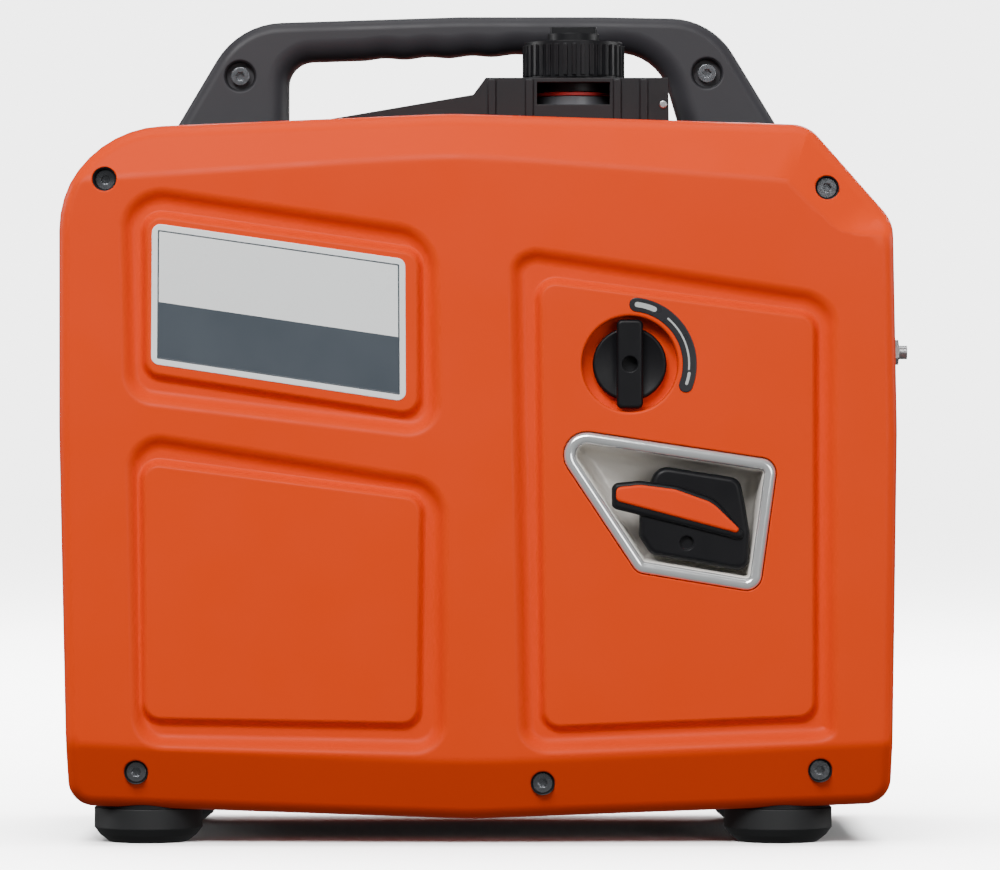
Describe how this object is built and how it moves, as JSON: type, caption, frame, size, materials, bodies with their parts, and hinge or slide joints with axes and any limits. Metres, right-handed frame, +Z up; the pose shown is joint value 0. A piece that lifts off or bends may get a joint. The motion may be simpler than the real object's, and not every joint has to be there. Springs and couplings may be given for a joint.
{
  "type": "portable generator",
  "caption": "Suitcase-style inverter generator with moulded covers, carrying handle, recoil starter, fuel tank, control panel and a complete engine inside.",
  "frame": {"origin": "on the ground plane under the middle of the bounding box", "axes": "+X towards the control panel end, -Y towards the recoil starter side, +Z up"},
  "size_m": [0.47, 0.27, 0.465],
  "materials": {
    "cover_shell_orange": "satin moulded plastic",
    "grip_orange": "satin soft grip",
    "frame_black": "fine grained moulded plastic",
    "handle_grey": "fine grained moulded plastic",
    "moulded_black": "moulded plastic",
    "panel_grey": "satin moulded plastic",
    "tank_grey": "satin coated steel",
    "foot_rubber": "matt rubber",
    "screw_black": "blackened",
    "bright_steel": "zinc plated",
    "bezel_chrome": "bright plated",
    "pan_silver": "silver painted",
    "exhaust_steel": "heat darkened",
    "cast_alloy": "as cast",
    "winding_copper": "varnished windings",
    "filter_foam": "oiled foam",
    "rope_fabric": "braided",
    "seal_red": "matt",
    "socket_red": "gloss",
    "lens_green": "clear moulded",
    "plate_silver": "satin print",
    "scale_black": "printed film"
  },
  "bodies": {
    "generator": {"starter_side_cover": "cover_shell_orange", "service_side_cover": "cover_shell_orange", "cover_screws": "screw_black", "base_tray": "frame_black", "rubber_feet": "foot_rubber", "top_cover": "frame_black", "control_end_frame": "frame_black", "exhaust_end_panel": "frame_black", "handle_front_half": "handle_grey", "handle_rear_half": "handle_grey", "handle_screws": "screw_black", "name_plate": "plate_silver", "dial_scale": "scale_black", "starter_bezel": "bezel_chrome", "starter_pan": "pan_silver", "rope_guide": "moulded_black", "control_panel": "panel_grey", "ac_outlets": "moulded_black", "dc_outlet": "moulded_black", "usb_ports": "moulded_black", "indicator_lenses": "lens_green", "parallel_sockets": "socket_red", "earth_terminal": "bright_steel", "fuel_tank": "tank_grey", "exhaust_outlet": "exhaust_steel", "muffler": "exhaust_steel", "engine_mounts": "foot_rubber", "crankcase": "cast_alloy", "engine_cylinder": "cast_alloy", "cylinder_head": "cast_alloy", "crankshaft": "bright_steel", "connecting_rod": "cast_alloy", "piston": "cast_alloy", "crank_bearings": "bright_steel", "stator": "winding_copper", "starter_housing": "moulded_black", "recoil_spring": "bright_steel", "starter_rope": "rope_fabric", "air_cleaner_case": "moulded_black", "air_filter": "filter_foam", "carburettor": "cast_alloy", "spark_plug": "bright_steel", "plug_lead": "moulded_black", "inverter_module": "cast_alloy", "oil_dipstick": "moulded_black"},
    "service_door": {"service_door": "cover_shell_orange"},
    "door_latch": {"door_latch": "frame_black"},
    "engine_dial": {"engine_dial": "moulded_black"},
    "starter_reel": {"starter_reel": "moulded_black"},
    "starter_grip": {"starter_grip": "moulded_black", "grip_insert": "grip_orange"},
    "cap_gasket": {"cap_gasket": "seal_red"},
    "fuel_cap": {"fuel_cap": "moulded_black"},
    "vent_lever": {"vent_lever": "moulded_black"},
    "left_outlet_lid": {"left_outlet_lid": "panel_grey"},
    "right_outlet_lid": {"right_outlet_lid": "panel_grey"},
    "breaker_button": {"breaker_button": "socket_red"},
    "eco_rocker": {"eco_rocker": "moulded_black"},
    "flywheel": {"flywheel_rotor": "bright_steel", "cooling_fan": "moulded_black"}
  },
  "joints": [
    {"name": "service_door_hinge", "type": "hinge", "parent": "generator", "child": "service_door", "pos_m": [0.0353, 0.134, 0.187], "axis": [0, 0, 1], "range_deg": [0, 110]},
    {"name": "door_latch_turn", "type": "hinge", "parent": "service_door", "child": "door_latch", "pos_m": [0.164, 0.13, 0.187], "axis": [0, 1, 0], "range_deg": [0, 90]},
    {"name": "engine_dial_turn", "type": "hinge", "parent": "generator", "child": "engine_dial", "pos_m": [0.0782, -0.12, 0.2646], "axis": [0, 1, 0], "range_deg": [0, 110]},
    {"name": "starter_reel_turn", "type": "hinge", "parent": "generator", "child": "starter_reel", "pos_m": [0.03, -0.077, 0.143], "axis": [0, 1, 0], "range_deg": [0, 975], "stiffness_Nm_per_rad": 0.02, "springref_deg": -458.37},
    {"name": "starter_grip_pull", "type": "slide", "parent": "generator", "child": "starter_grip", "axis": [0, -1, 0], "range_m": [0, 0.6], "deforming": ["starter_rope"]},
    {"name": "fuel_cap_lift", "type": "slide", "parent": "generator", "child": "cap_gasket", "axis": [0, 0, 1], "range_m": [0, 0.006]},
    {"name": "fuel_cap_turn", "type": "hinge", "parent": "cap_gasket", "child": "fuel_cap", "pos_m": [0.0485, -0.04, 0.437], "axis": [0, 0, 1], "range_deg": [0, 540]},
    {"name": "vent_lever_turn", "type": "hinge", "parent": "fuel_cap", "child": "vent_lever", "pos_m": [0.0485, -0.04, 0.449], "axis": [0, 0, 1], "range_deg": [0, 90]},
    {"name": "left_outlet_lid_hinge", "type": "hinge", "parent": "generator", "child": "left_outlet_lid", "pos_m": [0.219, -0.028, 0.145], "axis": [0, -1, 0], "range_deg": [0, 110], "stiffness_Nm_per_rad": 0.01, "springref_deg": -28.65},
    {"name": "right_outlet_lid_hinge", "type": "hinge", "parent": "generator", "child": "right_outlet_lid", "pos_m": [0.219, 0.028, 0.145], "axis": [0, -1, 0], "range_deg": [0, 110], "stiffness_Nm_per_rad": 0.01, "springref_deg": -28.65},
    {"name": "breaker_button_press", "type": "slide", "parent": "generator", "child": "breaker_button", "axis": [-1, 0, 0], "range_m": [0, 0.003], "stiffness_N_per_m": 600, "springref_m": -0.002},
    {"name": "eco_rocker_tilt", "type": "hinge", "parent": "generator", "child": "eco_rocker", "pos_m": [0.208, 0.027, 0.25], "axis": [0, 1, 0], "range_deg": [0, 16]},
    {"name": "flywheel_spin", "type": "hinge", "parent": "generator", "child": "flywheel", "pos_m": [0.03, -0.03, 0.143], "axis": [0, 1, 0], "continuous": true}
  ],
  "couplings": [
    {"joint": "starter_grip_pull", "follows": "starter_reel_turn", "m_per_rad": 0.035},
    {"joint": "fuel_cap_lift", "follows": "fuel_cap_turn", "m_per_rad": 0.000636}
  ]
}
